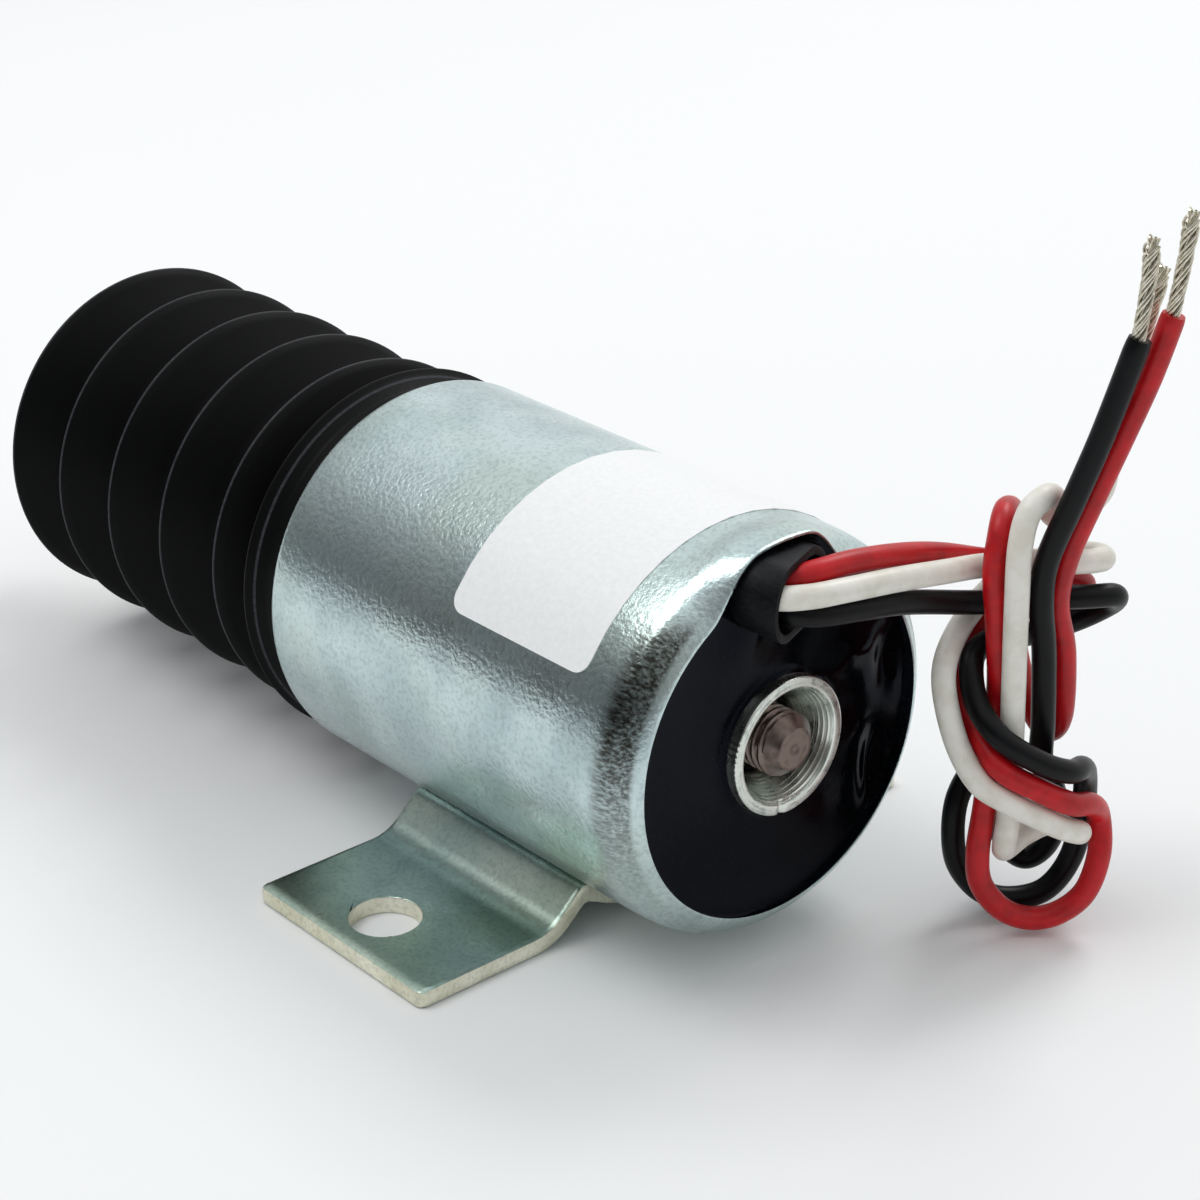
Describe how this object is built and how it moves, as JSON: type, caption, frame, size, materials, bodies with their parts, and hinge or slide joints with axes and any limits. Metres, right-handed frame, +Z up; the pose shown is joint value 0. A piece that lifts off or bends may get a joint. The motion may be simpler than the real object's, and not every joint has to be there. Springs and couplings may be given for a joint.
{
  "type": "push pull solenoid",
  "caption": "Tubular push pull solenoid with a bellows over its plunger, a push rod through the rear core, a saddle bracket with two feet and knotted leads.",
  "frame": {"origin": "on the mounting face, midway between the two mounting holes of the bracket", "axes": "+X is the body axis toward the rod end and is the direction of the energised stroke; +Y runs across the two feet; +Z is up, away from the mounting face"},
  "size_m": [0.1824, 0.081, 0.0908],
  "materials": {
    "zinc_steel": "satin",
    "bare_steel": "satin",
    "dark_steel": "satin",
    "brass": "satin",
    "bronze": "satin",
    "copper": "satin",
    "nylon": "matte",
    "tape": "matte",
    "epoxy": "gloss",
    "rubber": "matte",
    "label_paper": "satin",
    "pvc_red": "satin",
    "pvc_white": "satin",
    "pvc_black": "satin",
    "tinned_copper": "satin",
    "aluminium": "satin"
  },
  "bodies": {
    "body": {"body_shell": "zinc_steel", "front_plate": "bare_steel", "boot_collar": "aluminium", "rear_plate": "bare_steel", "fixed_core": "zinc_steel", "stop_shim": "brass", "rod_bushing": "bronze", "guide_tube": "brass", "bobbin": "nylon", "pull_coil": "copper", "hold_coil": "copper", "coil_wrap": "tape", "rear_potting": "epoxy", "lead_sleeve": "rubber", "mounting_bracket": "zinc_steel", "label_blank": "label_paper", "return_spring": "bare_steel", "dust_boot": "rubber", "lead_red": "pvc_red", "lead_white": "pvc_white", "lead_black": "pvc_black", "strands_red": "tinned_copper", "strands_white": "tinned_copper", "strands_black": "tinned_copper"},
    "plunger_set": {"plunger": "zinc_steel", "push_rod": "bare_steel", "rod_stop_ring": "dark_steel", "plunger_stud": "zinc_steel", "lock_washer": "zinc_steel", "jam_nut": "zinc_steel", "spring_seat": "zinc_steel", "seat_ring": "dark_steel", "boot_neck_clamp": "zinc_steel"}
  },
  "joints": [
    {"name": "plunger_slide", "type": "slide", "parent": "body", "child": "plunger_set", "axis": [1, 0, 0], "range_m": [0, 0.0254], "stiffness_N_per_m": 600, "springref_m": -0.02, "deforming": ["return_spring", "dust_boot"]}
  ]
}
